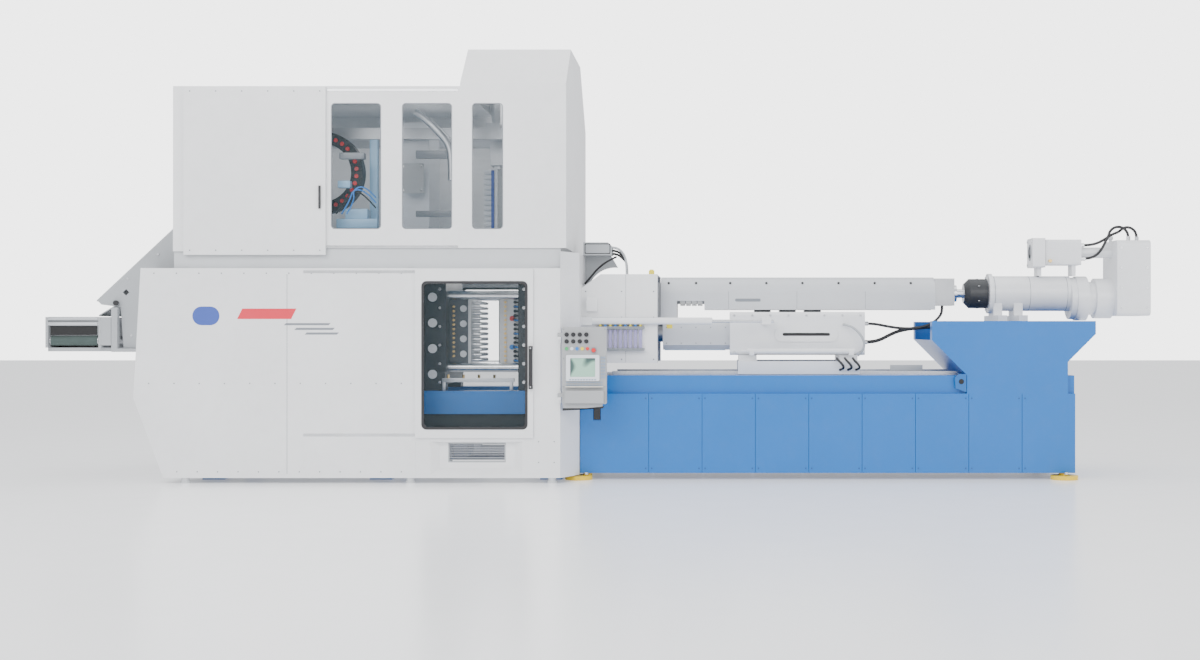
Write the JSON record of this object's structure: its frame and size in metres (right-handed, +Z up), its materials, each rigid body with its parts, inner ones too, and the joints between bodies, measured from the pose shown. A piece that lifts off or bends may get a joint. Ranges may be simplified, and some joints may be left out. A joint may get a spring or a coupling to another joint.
{
  "type": "preform injection molding machine",
  "caption": "Long floor-standing machine that injects plastic preforms in a guarded mould, lifts them out under a tall hood and drops them onto a cross conveyor.",
  "frame": {"origin": "centre of the footprint, on the floor", "axes": "+X along the machine from the discharge conveyor to the screw drive, +Z up, -Y is the operator side with the door and the panel"},
  "size_m": [11.004, 2.3663, 4.262],
  "materials": {
    "white_sheet": "white powder coat",
    "grey_metal": "grey powder coat",
    "frame_grey": "grey powder coat",
    "bright_steel": "ground and hard-chromed steel",
    "clear_pane": "clear safety pane",
    "black_plastic": "black moulded plastic",
    "machine_blue": "satin blue paint",
    "black_casting": "black painted casting",
    "mould_steel": "machined tool steel",
    "robot_white": "white paint",
    "robot_blue": "light blue paint",
    "aluminium_bar": "anodised aluminium",
    "foot_yellow": "yellow paint",
    "white_casting": "white enamel",
    "grey_cover": "pale grey powder coat",
    "panel_grey": "grey powder coat",
    "stop_red": "red moulded plastic",
    "belt_rubber": "dark belt rubber",
    "hose_rubber": "black hydraulic hose"
  },
  "bodies": {
    "machine": {"bed_covers": "machine_blue", "cavity_block": "mould_steel", "clamp_bed": "machine_blue", "contact_cylinders": "white_casting", "conveyor_belt": "belt_rubber", "conveyor_frame": "grey_metal", "cylinder_platen": "black_casting", "discharge_chute": "grey_metal", "end_stand": "machine_blue", "energy_chain": "black_plastic", "fixed_platen": "black_casting", "guard_frame": "frame_grey", "guard_panels": "white_sheet", "guide_rails": "bright_steel", "hood": "white_sheet", "injection_bed": "machine_blue", "junction_box": "grey_metal", "levelling_feet": "foot_yellow", "nozzle_guard": "white_sheet", "robot_frame": "aluminium_bar", "slide_rails": "bright_steel", "tie_bars": "bright_steel", "upper_floor": "robot_blue", "upper_panels": "white_sheet", "upper_windows": "clear_pane", "vent_grilles": "grey_metal"},
    "front_door": {"front_door": "white_sheet", "front_door_glass": "clear_pane", "front_door_handle": "black_plastic"},
    "rear_door": {"rear_door": "white_sheet", "rear_door_glass": "clear_pane"},
    "upper_cover": {"front_sliding_cover": "white_sheet"},
    "platen": {"moving_platen": "black_casting", "clamp_ram": "bright_steel", "core_block": "mould_steel", "core_pins": "bright_steel"},
    "stripper": {"stripper_plate": "mould_steel"},
    "mast": {"mast_stage": "aluminium_bar"},
    "takeoff": {"takeoff_plate": "robot_white"},
    "transfer": {"transfer_unit": "robot_white"},
    "carriage": {"carriage_base": "white_casting", "injection_housing": "white_casting", "shot_pot": "mould_steel", "plasticizing_barrel": "mould_steel", "barrel_covers": "grey_cover", "screw_drive": "white_casting", "drive_motor": "white_casting", "belt_guard": "white_casting", "contact_rods": "bright_steel", "motor_hose_a": "hose_rubber", "motor_hose_b": "hose_rubber", "supply_hose_a": "hose_rubber", "supply_hose_b": "hose_rubber"},
    "plunger": {"injection_plunger": "bright_steel"},
    "screw": {"plasticizing_screw": "bright_steel"},
    "drive_roller": {"drive_roller": "bright_steel"},
    "idler_roller": {"idler_roller": "bright_steel"},
    "panel": {"operator_panel": "panel_grey"},
    "stop_button": {"emergency_stop": "stop_red"},
    "latch": {"cover_latch": "black_plastic"}
  },
  "joints": [
    {"name": "front_door_slide", "type": "slide", "parent": "machine", "child": "front_door", "axis": [-1, 0, 0], "range_m": [0, 1.08]},
    {"name": "rear_door_slide", "type": "slide", "parent": "machine", "child": "rear_door", "axis": [-1, 0, 0], "range_m": [0, 1.08]},
    {"name": "upper_cover_slide", "type": "slide", "parent": "machine", "child": "upper_cover", "axis": [1, 0, 0], "range_m": [0, 1.28]},
    {"name": "platen_slide", "type": "slide", "parent": "machine", "child": "platen", "axis": [-1, 0, 0], "range_m": [-0.277, 0.5]},
    {"name": "stripper_slide", "type": "slide", "parent": "platen", "child": "stripper", "axis": [1, 0, 0], "range_m": [0, 0.09]},
    {"name": "mast_slide", "type": "slide", "parent": "machine", "child": "mast", "axis": [0, 0, -1], "range_m": [0, 0.667]},
    {"name": "takeoff_slide", "type": "slide", "parent": "mast", "child": "takeoff", "axis": [0, 0, -1], "range_m": [0, 0.667]},
    {"name": "transfer_slide", "type": "slide", "parent": "machine", "child": "transfer", "axis": [-1, 0, 0], "range_m": [0, 1.3]},
    {"name": "carriage_slide", "type": "slide", "parent": "machine", "child": "carriage", "axis": [1, 0, 0], "range_m": [0, 0.3]},
    {"name": "plunger_slide", "type": "slide", "parent": "carriage", "child": "plunger", "axis": [-1, 0, 0], "range_m": [-0.3, 0.41]},
    {"name": "screw_spin", "type": "hinge", "parent": "carriage", "child": "screw", "pos_m": [2, 0, 1.85], "axis": [1, 0, 0], "continuous": true},
    {"name": "drive_roller_spin", "type": "hinge", "parent": "machine", "child": "drive_roller", "pos_m": [-5.2, -0.74, 1.369], "axis": [1, 0, 0], "continuous": true},
    {"name": "idler_roller_spin", "type": "hinge", "parent": "machine", "child": "idler_roller", "pos_m": [-5.2, 0.74, 1.369], "axis": [1, 0, 0], "continuous": true},
    {"name": "panel_swing", "type": "hinge", "parent": "machine", "child": "panel", "pos_m": [-0.395, -1.148, 1], "axis": [0, 0, 1], "range_deg": [-110, 0]},
    {"name": "stop_press", "type": "slide", "parent": "panel", "child": "stop_button", "axis": [0, 1, 0], "range_m": [0, 0.006], "stiffness_N_per_m": 400},
    {"name": "latch_turn", "type": "hinge", "parent": "machine", "child": "latch", "pos_m": [-0.068, -0.731, 0.716], "axis": [1, 0, 0], "range_deg": [-60, 0]}
  ],
  "couplings": [
    {"joint": "takeoff_slide", "follows": "mast_slide", "ratio": 1},
    {"joint": "idler_roller_spin", "follows": "drive_roller_spin", "ratio": 1}
  ]
}
